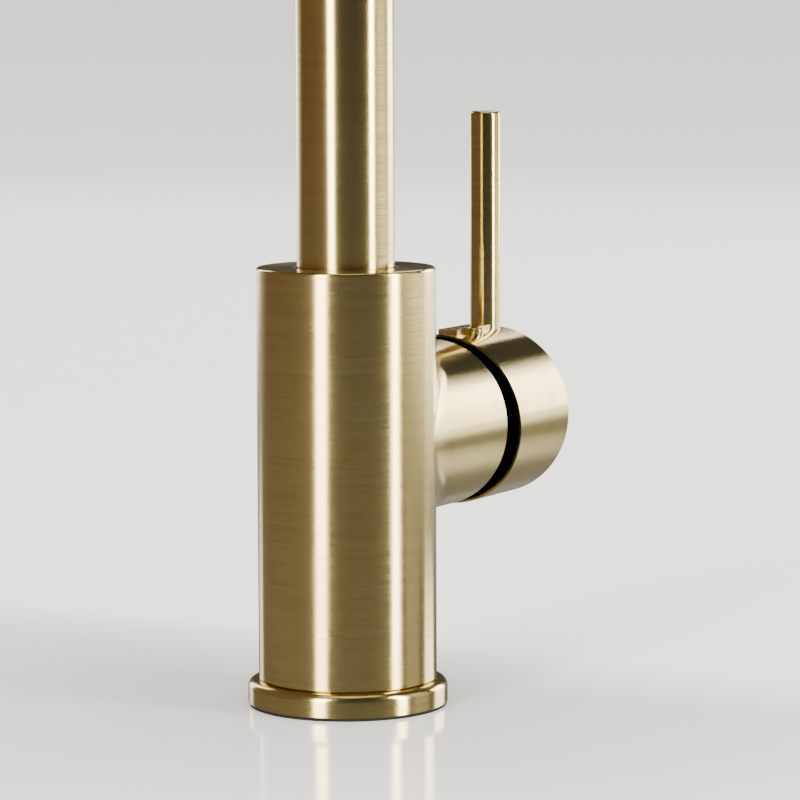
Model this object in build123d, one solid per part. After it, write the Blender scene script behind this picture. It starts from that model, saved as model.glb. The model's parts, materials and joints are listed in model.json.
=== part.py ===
from build123d import *
import math
import os

os.makedirs("parts", exist_ok=True)

# Frame: origin on the body axis at the top of the sink deck, +Z up, the spout reaches towards -Y,
# the lever side is +X. All sizes in millimetres.

# Body and base
BODY_R = 24.0
BODY_TOP_Z = 118.0
GASKET_H = 0.6
FLANGE_R = 26.9
FLANGE_TOP_Z = 7.1
FLANGE_BORE_R = 17.6
LEVER_Z = 71.2
BOSS_R = 23.3
BOSS_X = 48.0
BOSS_BLEND_R = 12.0
BODY_EDGE_R = 0.8
BODY_FOOT_CHAMFER = 0.4
FLANGE_EDGE_R = 2.0
FLANGE_GAP = 0.1
GASKET_INSET = 0.3
HOSE_WAY_R = 6.6

# Threaded shank and deck fixing
SHANK_R = 16.0
SHANK_NECK_R = 15.8
SHANK_BORE_R = 14.5
SHANK_TOP_Z = 21.5
SHANK_LOW_Z = -54.0
DECK_T = 30.0
SHANK_FIT = 0.05
SHANK_END_GAP = 0.3
SHANK_TIP_CHAMFER = 0.8
GROOVES = 14
GROOVE_PITCH = 3.0
GROOVE_DEPTH = 0.35
SEAL_WASHER_R = 26.0
SEAL_WASHER_GAP = 0.4
STEEL_WASHER_R = 25.0
STEEL_WASHER_GAP = 0.3
WASHER_Z = (-DECK_T - 5.0, -DECK_T - 3.0)
MOUNT_NUT_R = 24.0
MOUNT_NUT_Z = (-DECK_T - 18.0, -DECK_T - 7.0)
NOTCHES = 4
NOTCH_R = 3.5
NOTCH_X = 26.0
MOUNT_SCREW_R = 2.0
MOUNT_SCREW_REACH = 20.2
MOUNT_SCREW_TAIL = 6.0
MOUNT_HEAD_R = 3.6
MOUNT_HEAD_H = 3.5
MOUNT_SLOT = (8.0, 0.9, 2.4)

# Copper tails
TAIL_TOP_Z = 24.0
TAIL_LOW_Z = -98.0
TAIL_FIT = 0.05
TAIL_WALL = 0.85
TAIL_NUT_H = 16.0
TAIL_THREAD_H = 8.0
TAIL_THREAD_STEP = 2.2
TAIL_BORE_STEP = 0.3
INLET_FLATS = 14.0
INLET_END = (7.1, 22.0)
OUTLET_FLATS = 13.0
OUTLET_END = (25.0, 0.0)

# Cartridge chamber, along +X at LEVER_Z
CHAMBER_R = 17.6
CHAMBER_X = 16.0
NUT_BORE_R = 20.45
NUT_BORE_X = 40.0
PORT_R = 2.6
PORT_Y = 8.8
PORT_X = 5.1
PORT_DROP = 5.0
OUTLET_X = 10.2
OUTLET_RISE = 6.0
HOUSING_X = (17.0, 47.0)
HOUSING_R = 17.4
HOUSING_BORE_R = 14.6
HOUSING_MOUTH_R = 12.5
RUN_FIT = 0.08
FIXED_DISC_X = (20.6, 24.2)
MOVING_DISC_X = (24.3, 27.3)
MOVING_DISC_R = 9.9
CARRIER_TOP_X = 31.3
TURNER_X = (31.8, 45.9)
TURNER_NECK_X = 48.4
PIVOT_X = 41.0
STEM_R = 3.9
STEM_BALL_R = 2.6
STEM_ARM = 10.0
STEM_SQUARE = 7.8
STEM_SQUARE_X = (51.0, 67.0)
STEM_NECK_R = 2.2
STEM_NECK_H = 4.5
PIN_R = 1.5
PIN_RUN = 0.06
PIN_HALF = 12.0
PIN_HOLE_HALF = 14.0
HOUSING_LIP = 1.0
DISC_GAP = 0.1
DISC_POCKET_R = 6.4
DISC_POCKET_H = 1.5
CARRIER_BORE_R = 3.05
TURNER_SLOT_LENGTH = 19.0
TURNER_SLOT_GAP = 0.4
PORT_SEAL_R = 0.49
PORT_SEAL_STEP = 0.6
NUT_PRESS = 0.05
NUT_FLATS = 29.0
NUT_HEX_H = 1.9
NUT_BORE_STEP = 0.5
NUT_START_GAP = 0.2
TRIM_INSET = 1.7
TRIM_BORE_R = 17.3
TRIM_EDGE_R = 0.7

# Handle
CAP_R = 24.0
CAP_WALL = 1.2
CAP_MOUTH_X = 55.0
CAP_MOUTH_SLANT_DEG = 5.5
CAP_END_X = 85.8
CAP_CAVITY_X = 69.0
CAP_EDGE_R = 2.4
HUB_R = 8.0
HUB_X = 57.5
ROD_R = 4.4
ROD_X = 78.6
ROD_TOP_Z = 156.8
ROD_LOW_Z = LEVER_Z + 10.0
ROD_EDGE_R = 0.9
PAD_X = 56.3
PAD_HALF_WIDTH = 3.2
PAD_RISE = 1.15
PAD_ROOT = 3.0
PAD_CORNER_R = 0.5
PLUG_X = 64.0
PLUG_TURN_DEG = 11.0
PLUG_R = 2.2
PLUG_RISE = 1.8
PLUG_DEPTH = 3.0
PLUG_EDGE_R = 0.5
PLUG_FIT = 0.05
GRUB_TOP = 12.5
SOCKET_SQUARE = STEM_SQUARE + 0.1
SOCKET_DEPTH = 10.0

# Spout
TUBE_R = 13.15
TUBE_WALL = 1.2
REACH = 200.0
ARCH_R = REACH / 2
ARCH_Z = 318.0
SPOUT_END_Z = 296.0
FOOT_Z = (90.8, 100.0)
FOOT_SPIGOT_Z = 108.0
SOCKET_R = 14.3
SOCKET_Z = 89.0
STOP_Z = 98.0
BUSH_PRESS = 0.05
BUSH_RUN = 0.06
BUSH_UPPER_Z = 105.0
BUSH_SINK = 0.4
BUSH_LIP_R = 9.5
BUSH_LIP_H = 1.5
BUSH_LOWER_H = 5.0
O_RING_LEVELS = (102.0, 103.6)
O_RING_R = 0.5
STOP_SCREW_R = 2.5
STOP_SCREW_SINK = 1.5
STOP_SHOULDER_GAP = 0.2
STOP_PIN_R = 1.6
STOP_PIN_DEPTH = 0.5
STOP_PLAY_DEG = 1.8
STOP_GROOVE_DEPTH = 0.95
STOP_GROOVE_LOW = 2.1
FOOT_BORE_R = 9.8
GUIDE_GAP = 0.35
GUIDE_TOP_Z = 309.5
GUIDE_CHAMFER = 0.6
MAGNET_TOP_Z = 316.0
MAGNET_GAP = 0.5
KEY_R = 1.5
KEY_DEPTH = 2.5
SWIVEL_DEG = 110.0
HOSE_R = 6.0
HOSE_BORE_R = 4.2
LEAD_LOW_Z = 290.0
HOSE_LOW_Z = SHANK_LOW_Z - 10.0
HOSE_SLEEVE_R = 7.5
HOSE_SLEEVE_H = 14.0
HOSE_PLUG_R = 5.0
HOSE_PLUG_H = 12.0
HOSE_GROOVE_R = 4.4
HOSE_GROOVE_DROP = 8.0
HOSE_GROOVE_H = 2.0

# Spray head
SPRAY_TOP_Z = 295.6
SPRAY_LOW_Z = 212.0
SPRAY_R = 15.6
SPRAY_TAPER_Z = 260.0
SPRAY_COLLAR_H = 6.0
FACE_RING_H = 3.2
FACE_EDGE_R = 0.9
SHELL_WALL = 1.6
NECK_R = 8.5
NECK_TOP_Z = 308.0
NECK_BORE_R = 6.5
SHELL_ROOF = 3.0
DOCK_RING_H = 3.0
HOSE_NUT_FLATS = 13.0
HOSE_NUT_R = 6.0
HOSE_NUT_Z = (LEAD_LOW_Z - 22.0, LEAD_LOW_Z - 12.0)
FILTER_LOW_Z = LEAD_LOW_Z - 24.0
FILTER_BORE_R = 2.5
ROCKER_Z = 250.0
ROCKER_H = 24.0
ROCKER_W = 9.0
ROCKER_GAP = 0.9
ROCKER_PROUD = 0.9
ROCKER_DEPTH = 2.0
ROCKER_CORNER_R = 2.0
ROCKER_PIN_R = 0.8
ROCKER_PIN_HALF = 3.9
ROCKER_HOLE_HALF = 6.0
ROCKER_PIN_OUT = 2.4
LUG_OUT = 3.2
LUG_SIZE = (3.6, 4.6, 4.0)
CORE_R = 9.0
CORE_LOW_Z = 222.0
CORE_BORE_R = 4.0
CORE_BORE_LOW_Z = 228.0
CORE_FOOT_R = 12.6
CORE_FOOT_H = 3.0
EAR_X = 3.1
EAR_OUT = 1.0
EAR_SIZE = (1.6, 5.0, 4.4)
VALVE_R = 3.9
VALVE_BORE_R = 2.6
VALVE_Z = (254.0, 264.5)
VALVE_CONE_R = (2.8, 1.0)
VALVE_CONE_H = 5.0
VALVE_CONE_Z = 255.5
NOZZLE_RINGS = ((12, 9.0), (18, 11.6))
NOZZLE_R = 0.8
NOZZLE_BORE_R = 0.35
NOZZLE_PLATE_LOW = 1.2
AERATOR_R = 6.85
AERATOR_BORE_R = 6.0
AERATOR_TOP = 9.5
AERATOR_BARS = 5
AERATOR_PITCH = 2.4
AERATOR_BAR = (0.5, 1.2)


def tube(outer, inner, low, high):
    """Ring about the Z axis between two heights."""
    body = Cylinder(outer, high - low, align=(Align.CENTER, Align.CENTER, Align.MIN))
    if inner > 0:
        body -= Cylinder(inner, high - low, align=(Align.CENTER, Align.CENTER, Align.MIN))
    return Pos(0, 0, low) * body


def along_x(shape):
    """Lay a shape built along Z on the lever axis, its Z becoming X."""
    return Pos(0, 0, LEVER_Z) * Rot(0, 90, 0) * shape


def at_spray(shape):
    """Move a shape built about the Z axis onto the spray head's axis."""
    return Pos(0, -REACH, 0) * shape


def rod_y(radius, y_low, y_high, x, z):
    """Round bar along Y."""
    bar = Cylinder(radius, y_high - y_low, align=(Align.CENTER, Align.CENTER, Align.MIN))
    return Pos(x, y_low, z) * Rot(-90, 0, 0) * bar


def edges_at(shape, height, radius):
    """Circular edges of one radius at one height."""
    circles = shape.edges().filter_by(GeomType.CIRCLE)
    found = []
    for edge in circles:
        same_height = abs(edge.center().Z - height) < 0.01
        if same_height and abs(edge.radius - radius) < 0.01:
            found.append(edge)
    return found


def hex_nut(across_flats, bore, low, high):
    """Hexagonal nut about the Z axis."""
    corner = across_flats / math.sqrt(3)
    prism = Pos(0, 0, low) * extrude(RegularPolygon(corner, 6), high - low)
    return prism - tube(bore, 0, low, high)


def hex_socket():
    """Hexagonal key socket of a small grub screw, rising from the origin."""
    return extrude(RegularPolygon(KEY_R, 6), KEY_DEPTH)


# ---------------------------------------------------------------- base and deck fixing

def base_gasket():
    return tube(FLANGE_R - GASKET_INSET, FLANGE_BORE_R, 0, GASKET_H)


def base_flange():
    top = FLANGE_TOP_Z - FLANGE_GAP
    ring = tube(FLANGE_R, FLANGE_BORE_R, GASKET_H, top)
    return fillet(edges_at(ring, top, FLANGE_R), FLANGE_EDGE_R)


def threaded_shank():
    shank = tube(SHANK_R, SHANK_BORE_R, SHANK_LOW_Z, 0)
    shank = chamfer(edges_at(shank, SHANK_LOW_Z, SHANK_R), SHANK_TIP_CHAMFER)
    shank += tube(SHANK_NECK_R, SHANK_BORE_R, 0, SHANK_TOP_Z)
    for index in range(GROOVES):
        level = SHANK_LOW_Z + GROOVE_PITCH * (index + 2 / 3)
        shank -= tube(SHANK_R + 1, SHANK_R - GROOVE_DEPTH, level, level + GROOVE_PITCH / 3)
    return shank


def deck_seal_washer():
    return tube(SEAL_WASHER_R, SHANK_R + SEAL_WASHER_GAP, WASHER_Z[1], -DECK_T)


def deck_steel_washer():
    return tube(STEEL_WASHER_R, SHANK_R + STEEL_WASHER_GAP, WASHER_Z[0], WASHER_Z[1])


def mounting_nut():
    nut = tube(MOUNT_NUT_R, SHANK_R + SHANK_FIT, MOUNT_NUT_Z[0], MOUNT_NUT_Z[1])
    notch = Pos(NOTCH_X, 0, 0) * tube(NOTCH_R, 0, MOUNT_NUT_Z[0], MOUNT_NUT_Z[1])
    for index in range(NOTCHES):
        nut -= Rot(0, 0, 360 * (index + 0.5) / NOTCHES) * notch
    hole = tube(MOUNT_SCREW_R + SHANK_FIT, 0, MOUNT_NUT_Z[0], MOUNT_NUT_Z[1])
    for side in (-1, 1):
        nut -= Pos(0, side * MOUNT_SCREW_REACH, 0) * hole
    return nut


def nut_screws():
    head_top = MOUNT_NUT_Z[0] - MOUNT_SCREW_TAIL
    head_low = head_top - MOUNT_HEAD_H
    shaft = tube(MOUNT_SCREW_R, 0, head_top, WASHER_Z[0])
    head = tube(MOUNT_HEAD_R, 0, head_low, head_top)
    slot = Pos(0, 0, head_low) * Box(*MOUNT_SLOT)
    screws = []
    for side in (-1, 1):
        screws.append(Pos(0, side * MOUNT_SCREW_REACH, 0) * (shaft + head - slot))
    return Compound(children=[screw.solid() for screw in screws])


def swept_tail(start, end):
    """Tube that leaves a port straight down, sways outwards and ends straight down."""
    top = (start[0], start[1], TAIL_TOP_Z)
    bend = (start[0], start[1], SHANK_LOW_Z + 2)
    foot = (end[0], end[1], TAIL_LOW_Z)
    rail = Wire([
        Edge.make_line(top, bend),
        Edge.make_spline([bend, foot], tangents=[(0, 0, -1), (0, 0, -1)]),
    ])
    section = Plane(origin=top, z_dir=(0, 0, -1))
    outer_r = PORT_R - TAIL_FIT
    bore = sweep(section * Circle(outer_r - TAIL_WALL), path=rail)
    return sweep(section * Circle(outer_r), path=rail) - bore


def tail_with_nut(start, end, across_flats):
    """Copper tail and its end fitting, as one brazed piece."""
    bore = PORT_R - TAIL_BORE_STEP
    nut_low = TAIL_LOW_Z - TAIL_NUT_H
    fitting = hex_nut(across_flats, bore, nut_low, TAIL_LOW_Z)
    fitting += tube(across_flats / 2 - TAIL_THREAD_STEP, bore, nut_low - TAIL_THREAD_H, nut_low)
    return swept_tail(start, end) + Pos(end[0], end[1], 0) * fitting


def hot_inlet_tail():
    return tail_with_nut((PORT_X, PORT_Y), INLET_END, INLET_FLATS)


def cold_inlet_tail():
    return tail_with_nut((PORT_X, -PORT_Y), (INLET_END[0], -INLET_END[1]), INLET_FLATS)


def outlet_tail():
    return tail_with_nut((OUTLET_X, 0), OUTLET_END, OUTLET_FLATS)


# ---------------------------------------------------------------- valve body

def port_bores(reach_low):
    """Water ways: two inlets and the mixed outlet, drilled up and then across to the chamber."""
    ways = None
    for x, y, level in (
        (PORT_X, PORT_Y, LEVER_Z - PORT_DROP),
        (PORT_X, -PORT_Y, LEVER_Z - PORT_DROP),
        (OUTLET_X, 0, LEVER_Z + OUTLET_RISE),
    ):
        up = Pos(x, y, 0) * tube(PORT_R, 0, reach_low, level)
        across = Pos(x, y, level) * Rot(0, 90, 0) * tube(PORT_R, 0, 0, CHAMBER_X - x)
        knee = Pos(x, y, level) * Sphere(PORT_R)
        ways = up + across + knee if ways is None else ways + up + across + knee
    return ways


def valve_body():
    column = tube(BODY_R, 0, FLANGE_TOP_Z, BODY_TOP_Z)
    boss = along_x(tube(BOSS_R, 0, 0, BOSS_X))
    body = column + boss
    seam = []
    for edge in body.edges():
        middle = edge.center()
        on_seam = abs(math.hypot((edge @ 0).X, (edge @ 0).Y) - BODY_R) < 0.01
        inside = FLANGE_TOP_Z + 5 < middle.Z < BODY_TOP_Z - 5
        if on_seam and inside and edge.geom_type != GeomType.LINE and middle.X < BODY_R:
            seam.append(edge)
    body = fillet(seam, BOSS_BLEND_R)
    body = fillet(edges_at(body, BODY_TOP_Z, BODY_R), BODY_EDGE_R)
    body = chamfer(edges_at(body, FLANGE_TOP_Z, BODY_R), BODY_FOOT_CHAMFER)
    body -= tube(SHANK_NECK_R + SHANK_FIT, 0, FLANGE_TOP_Z, SHANK_TOP_Z + SHANK_END_GAP)
    body -= tube(HOSE_WAY_R, 0, SHANK_TOP_Z, SOCKET_Z)
    body -= tube(SOCKET_R, 0, SOCKET_Z, BODY_TOP_Z)
    body -= along_x(tube(CHAMBER_R, 0, CHAMBER_X, BOSS_X))
    body -= along_x(tube(NUT_BORE_R, 0, NUT_BORE_X, BOSS_X))
    body -= port_bores(SHANK_TOP_Z)
    body -= rod_y(STOP_SCREW_R + SHANK_FIT, SOCKET_R - 2, BODY_R + 1, 0, STOP_Z)
    return body


def spout_bush_upper():
    return tube(SOCKET_R - BUSH_PRESS, TUBE_R + BUSH_RUN, BUSH_UPPER_Z, BODY_TOP_Z - BUSH_SINK)


def spout_bush_lower():
    outer_r = SOCKET_R - BUSH_PRESS
    lip_z = SOCKET_Z + BUSH_LIP_H
    lip = tube(outer_r, BUSH_LIP_R, SOCKET_Z, lip_z)
    return lip + tube(outer_r, TUBE_R + BUSH_RUN, lip_z, SOCKET_Z + BUSH_LOWER_H)


def spout_o_rings():
    rings = []
    for level in O_RING_LEVELS:
        rings.append((Pos(0, 0, level) * Torus((TUBE_R + SOCKET_R) / 2 - 0.005, O_RING_R)).solid())
    return Compound(children=rings)


def spout_stop_screw():
    shoulder = SOCKET_R + STOP_SHOULDER_GAP
    end = BODY_R - STOP_SCREW_SINK
    screw = rod_y(STOP_SCREW_R, shoulder, end, 0, STOP_Z)
    screw += rod_y(STOP_PIN_R, TUBE_R - STOP_PIN_DEPTH, shoulder, 0, STOP_Z)
    return screw - Pos(0, end, STOP_Z) * Rot(90, 0, 0) * hex_socket()


# ---------------------------------------------------------------- cartridge

def pivot_bar(radius, half_length):
    """Round bar along the stem's pivot axis."""
    return rod_y(radius, -half_length, half_length, PIVOT_X, LEVER_Z)


def cartridge_ports(low, high):
    """The three water ways through a cartridge piece, in the cartridge's own axes."""
    ports = Pos(PORT_DROP, PORT_Y, 0) * tube(PORT_R, 0, low, high)
    ports += Pos(PORT_DROP, -PORT_Y, 0) * tube(PORT_R, 0, low, high)
    ports += Pos(-OUTLET_RISE, 0, 0) * tube(PORT_R, 0, low, high)
    return ports


def cartridge_housing():
    shell = tube(HOUSING_R, 0, HOUSING_X[0], HOUSING_X[1])
    lip_x = HOUSING_X[1] - HOUSING_LIP
    shell -= tube(HOUSING_BORE_R, 0, FIXED_DISC_X[0] - DISC_GAP, lip_x)
    shell -= tube(HOUSING_MOUTH_R, 0, lip_x, HOUSING_X[1])
    shell -= cartridge_ports(HOUSING_X[0], FIXED_DISC_X[0])
    return along_x(shell)


def cartridge_seals():
    seals = []
    for x, y in ((PORT_DROP, PORT_Y), (PORT_DROP, -PORT_Y), (-OUTLET_RISE, 0)):
        ring = Pos(x, y, (CHAMBER_X + HOUSING_X[0]) / 2) * Torus(PORT_R + PORT_SEAL_STEP, PORT_SEAL_R)
        seals.append(along_x(ring).solid())
    return Compound(children=seals)


def fixed_disc():
    disc = tube(HOUSING_BORE_R - DISC_GAP, 0, FIXED_DISC_X[0], FIXED_DISC_X[1])
    return along_x(disc - cartridge_ports(FIXED_DISC_X[0], FIXED_DISC_X[1]))


def moving_disc():
    disc = tube(MOVING_DISC_R, 0, MOVING_DISC_X[0], MOVING_DISC_X[1])
    pocket = tube(DISC_POCKET_R, 0, MOVING_DISC_X[0], MOVING_DISC_X[0] + DISC_POCKET_H)
    return along_x(disc - pocket)


def disc_carrier():
    puck = tube(MOVING_DISC_R, CARRIER_BORE_R, MOVING_DISC_X[1], CARRIER_TOP_X)
    return along_x(puck)


def cartridge_turner():
    body = tube(HOUSING_BORE_R - RUN_FIT, 0, TURNER_X[0], TURNER_X[1])
    body += tube(HOUSING_MOUTH_R - RUN_FIT, 0, TURNER_X[1], TURNER_NECK_X)
    slot = Box(TURNER_SLOT_LENGTH, 2 * (STEM_R + TURNER_SLOT_GAP), 40)
    slot = Pos(0, 0, (TURNER_X[0] + TURNER_NECK_X) / 2) * slot
    turner = along_x(body - slot)
    return turner - pivot_bar(PIN_R + PIN_RUN, PIN_HOLE_HALF)


def cartridge_stem():
    ball_x = PIVOT_X - STEM_ARM
    stem = tube(STEM_NECK_R, 0, ball_x, ball_x + STEM_NECK_H)
    stem += tube(STEM_R, 0, ball_x + STEM_NECK_H - 1, STEM_SQUARE_X[0])
    stem += Pos(0, 0, ball_x) * Sphere(STEM_BALL_R)
    square = extrude(Rectangle(STEM_SQUARE, STEM_SQUARE), STEM_SQUARE_X[1] - STEM_SQUARE_X[0])
    stem += Rot(0, 0, PLUG_TURN_DEG) * Pos(0, 0, STEM_SQUARE_X[0]) * square
    return along_x(stem) - pivot_bar(PIN_R, PIN_HOLE_HALF)


def stem_pin():
    return pivot_bar(PIN_R, PIN_HALF)


def retaining_nut():
    outer_r = NUT_BORE_R - NUT_PRESS
    mouth_r = HOUSING_MOUTH_R + NUT_BORE_STEP
    nut = tube(outer_r, CHAMBER_R - 0.1, NUT_BORE_X + NUT_START_GAP, HOUSING_X[1])
    nut += tube(outer_r, mouth_r, HOUSING_X[1], BOSS_X)
    nut += hex_nut(NUT_FLATS, mouth_r, BOSS_X, BOSS_X + NUT_HEX_H)
    return along_x(nut)


def trim_ring():
    outer_r = BOSS_R - TRIM_INSET
    ring = tube(outer_r, TRIM_BORE_R, BOSS_X, BOSS_X + NUT_HEX_H)
    return along_x(fillet(edges_at(ring, BOSS_X + NUT_HEX_H, outer_r), TRIM_EDGE_R))


# ---------------------------------------------------------------- handle

def plug_axis(shape):
    """Stand a shape built along Z on the radial axis of the index plug."""
    return Pos(PLUG_X, 0, LEVER_Z) * Rot(PLUG_TURN_DEG, 0, 0) * shape


def handle_cap():
    shell = tube(CAP_R, 0, CAP_MOUTH_X - 8, CAP_END_X)
    shell = fillet(edges_at(shell, CAP_END_X, CAP_R), CAP_EDGE_R)
    shell -= tube(CAP_R - CAP_WALL, 0, CAP_MOUTH_X - 8, CAP_CAVITY_X)
    cut = Pos(0, 0, CAP_MOUTH_X) * Rot(0, -CAP_MOUTH_SLANT_DEG, 0) * Box(
        80, 80, 40, align=(Align.CENTER, Align.CENTER, Align.MAX)
    )
    shell -= cut
    shell += tube(HUB_R, 0, HUB_X, CAP_CAVITY_X)
    socket = Pos(0, 0, HUB_X) * extrude(Rectangle(SOCKET_SQUARE, SOCKET_SQUARE), SOCKET_DEPTH)
    cap = along_x(shell - Rot(0, 0, PLUG_TURN_DEG) * socket)
    pad = Pos((PAD_X + ROD_X) / 2, 0, LEVER_Z + CAP_R + PAD_RISE - PAD_ROOT / 2) * Box(
        ROD_X - PAD_X, 2 * PAD_HALF_WIDTH, PAD_ROOT
    )
    pad = fillet(pad.edges().filter_by(Axis.Z), PAD_CORNER_R)
    pad -= along_x(tube(CAP_R - CAP_WALL / 2, 0, PAD_X - 1, CAP_CAVITY_X))
    cap += pad
    cap -= Pos(ROD_X, 0, 0) * tube(ROD_R, 0, ROD_LOW_Z, LEVER_Z + CAP_R + 2)
    cap -= plug_axis(tube(PLUG_R + PLUG_FIT, 0, 0, CAP_R + PLUG_RISE))
    return cap


def lever_rod():
    rod = tube(ROD_R, 0, ROD_LOW_Z, ROD_TOP_Z)
    return Pos(ROD_X, 0, 0) * fillet(edges_at(rod, ROD_TOP_Z, ROD_R), ROD_EDGE_R)


def handle_grub_screw():
    screw = tube(PLUG_R, 0, STEM_SQUARE / 2, GRUB_TOP)
    return plug_axis(screw - Pos(0, 0, GRUB_TOP - KEY_DEPTH) * hex_socket())


def index_plug():
    plug = tube(PLUG_R, 0, CAP_R - PLUG_DEPTH, CAP_R + PLUG_RISE)
    return plug_axis(fillet(edges_at(plug, CAP_R + PLUG_RISE, PLUG_R), PLUG_EDGE_R))


# ---------------------------------------------------------------- spout

def arch_path(start_z, end_z):
    """Column, half circle and the straight leg down to the spray head."""
    crown = (0, -ARCH_R, ARCH_Z + ARCH_R)
    return Wire([
        Edge.make_line((0, 0, start_z), (0, 0, ARCH_Z)),
        Edge.make_three_point_arc((0, 0, ARCH_Z), crown, (0, -REACH, ARCH_Z)),
        Edge.make_line((0, -REACH, ARCH_Z), (0, -REACH, end_z)),
    ])


def bent_tube(outer, inner, start_z, end_z):
    """Round tube along the spout's line; the end may stop at the foot of the arch."""
    section = Plane(origin=(0, 0, start_z), z_dir=(0, 0, 1))
    if end_z < ARCH_Z:
        path = arch_path(start_z, end_z)
    else:
        path = Wire(arch_path(start_z, ARCH_Z - 1).edges()[:2])
    return sweep(section * Circle(outer), path=path) - sweep(section * Circle(inner), path=path)


def spout_tube():
    return bent_tube(TUBE_R, TUBE_R - TUBE_WALL, FOOT_Z[1], SPOUT_END_Z)


def spout_foot():
    foot = tube(TUBE_R, FOOT_BORE_R, FOOT_Z[0], FOOT_Z[1])
    foot += tube(TUBE_R - TUBE_WALL, FOOT_BORE_R, FOOT_Z[1], FOOT_SPIGOT_Z)
    pin_arc = math.degrees(math.asin(STOP_PIN_R / (TUBE_R - STOP_PIN_DEPTH)))
    half_arc = math.radians(SWIVEL_DEG + pin_arc + STOP_PLAY_DEG)
    band = tube(TUBE_R + 1, TUBE_R - STOP_GROOVE_DEPTH, STOP_Z - STOP_GROOVE_LOW, FOOT_Z[1])
    reach = 3 * TUBE_R
    sector = make_face(Polyline(
        (0, 0),
        (reach * math.sin(half_arc), reach * math.cos(half_arc)),
        (0, -2 * reach),
        (-reach * math.sin(half_arc), reach * math.cos(half_arc)),
        close=True,
    ))
    kept = Pos(0, 0, STOP_Z - 5) * extrude(sector, 10)
    return foot - (band - kept)


def spout_end_guide():
    bore_r = NECK_R + GUIDE_GAP
    guide = tube(TUBE_R - TUBE_WALL, bore_r, SPOUT_END_Z, GUIDE_TOP_Z)
    return at_spray(chamfer(edges_at(guide, SPOUT_END_Z, bore_r), GUIDE_CHAMFER))


def dock_magnet():
    return at_spray(tube(TUBE_R - TUBE_WALL - 0.1, NECK_R + MAGNET_GAP, GUIDE_TOP_Z, MAGNET_TOP_Z))


def spray_hose_riser():
    return bent_tube(HOSE_R, HOSE_BORE_R, HOSE_LOW_Z, ARCH_Z)


def hose_lower_end():
    sleeve_low = HOSE_LOW_Z - HOSE_SLEEVE_H
    end = tube(HOSE_SLEEVE_R, HOSE_BORE_R, sleeve_low, HOSE_LOW_Z)
    end += tube(HOSE_PLUG_R, HOSE_BORE_R - 1, sleeve_low - HOSE_PLUG_H, sleeve_low)
    groove_low = sleeve_low - HOSE_GROOVE_DROP
    return end - tube(HOSE_PLUG_R + 1, HOSE_GROOVE_R, groove_low, groove_low + HOSE_GROOVE_H)


def spray_hose_lead():
    return at_spray(tube(HOSE_R, HOSE_BORE_R, LEAD_LOW_Z, ARCH_Z))


# ---------------------------------------------------------------- spray head

def shell_profile(inset, low, high):
    """Outside of the spray shell, drawn in as a closed half section."""
    top_r = TUBE_R - inset
    full_r = SPRAY_R - inset
    with BuildPart() as body:
        with BuildSketch(Plane.XZ):
            with BuildLine():
                Polyline((0, low), (full_r, low), (full_r, SPRAY_TAPER_Z))
                Spline(
                    (full_r, SPRAY_TAPER_Z),
                    (top_r, high - SPRAY_COLLAR_H),
                    tangents=[(0, 1), (0, 1)],
                )
                Polyline((top_r, high - SPRAY_COLLAR_H), (top_r, high), (0, high), (0, low))
            make_face()
        revolve(axis=Axis.Z)
    return body.part


def spray_shell():
    low = SPRAY_LOW_Z + FACE_RING_H
    roof_z = SPRAY_TOP_Z - SHELL_ROOF
    shell = shell_profile(0, low, SPRAY_TOP_Z) - shell_profile(SHELL_WALL, low, roof_z)
    shell += tube(NECK_R, NECK_BORE_R, roof_z, NECK_TOP_Z)
    shell -= tube(NECK_BORE_R, 0, roof_z - 2, NECK_TOP_Z)
    window = Pos(0, -SPRAY_R, ROCKER_Z) * Box(ROCKER_W + ROCKER_GAP, 10, ROCKER_H + 2 * ROCKER_GAP)
    return at_spray(shell - window)


def dock_steel_ring():
    return at_spray(tube(NECK_R - 0.1, NECK_BORE_R, NECK_TOP_Z, NECK_TOP_Z + DOCK_RING_H))


def spray_hose_nut():
    bore = HOSE_BORE_R - 0.4
    nut = hex_nut(HOSE_NUT_FLATS, bore, HOSE_NUT_Z[1], LEAD_LOW_Z)
    return at_spray(nut + tube(HOSE_NUT_R, bore, HOSE_NUT_Z[0], HOSE_NUT_Z[1]))


def filter_washer():
    return at_spray(tube(HOSE_NUT_R, FILTER_BORE_R, FILTER_LOW_Z, HOSE_NUT_Z[0]))


def rocker_axle(radius, half_length):
    """Round bar along the rocker's pivot, about the spray head's own axis."""
    bar = Rot(0, 90, 0) * tube(radius, 0, -half_length, half_length)
    return Pos(0, -CORE_R - ROCKER_PIN_OUT, ROCKER_Z) * bar


def spray_core():
    core = tube(CORE_R, 0, CORE_LOW_Z, HOSE_NUT_Z[1])
    core -= tube(HOSE_NUT_R + 0.05, 0, FILTER_LOW_Z, HOSE_NUT_Z[1])
    core += tube(CORE_FOOT_R, CORE_BORE_R, CORE_LOW_Z, CORE_LOW_Z + CORE_FOOT_H)
    for side in (-1, 1):
        core += Pos(side * EAR_X, -CORE_R - EAR_OUT, ROCKER_Z) * Box(*EAR_SIZE)
    core -= tube(CORE_BORE_R, 0, CORE_BORE_LOW_Z, FILTER_LOW_Z)
    return at_spray(core - rocker_axle(ROCKER_PIN_R, ROCKER_HOLE_HALF))


def check_valve():
    valve = tube(VALVE_R, VALVE_BORE_R, VALVE_Z[0], VALVE_Z[1])
    cone = Cone(VALVE_CONE_R[0], VALVE_CONE_R[1], VALVE_CONE_H, align=(Align.CENTER, Align.CENTER, Align.MIN))
    return at_spray(valve + Pos(0, 0, VALVE_CONE_Z) * cone)


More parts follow.
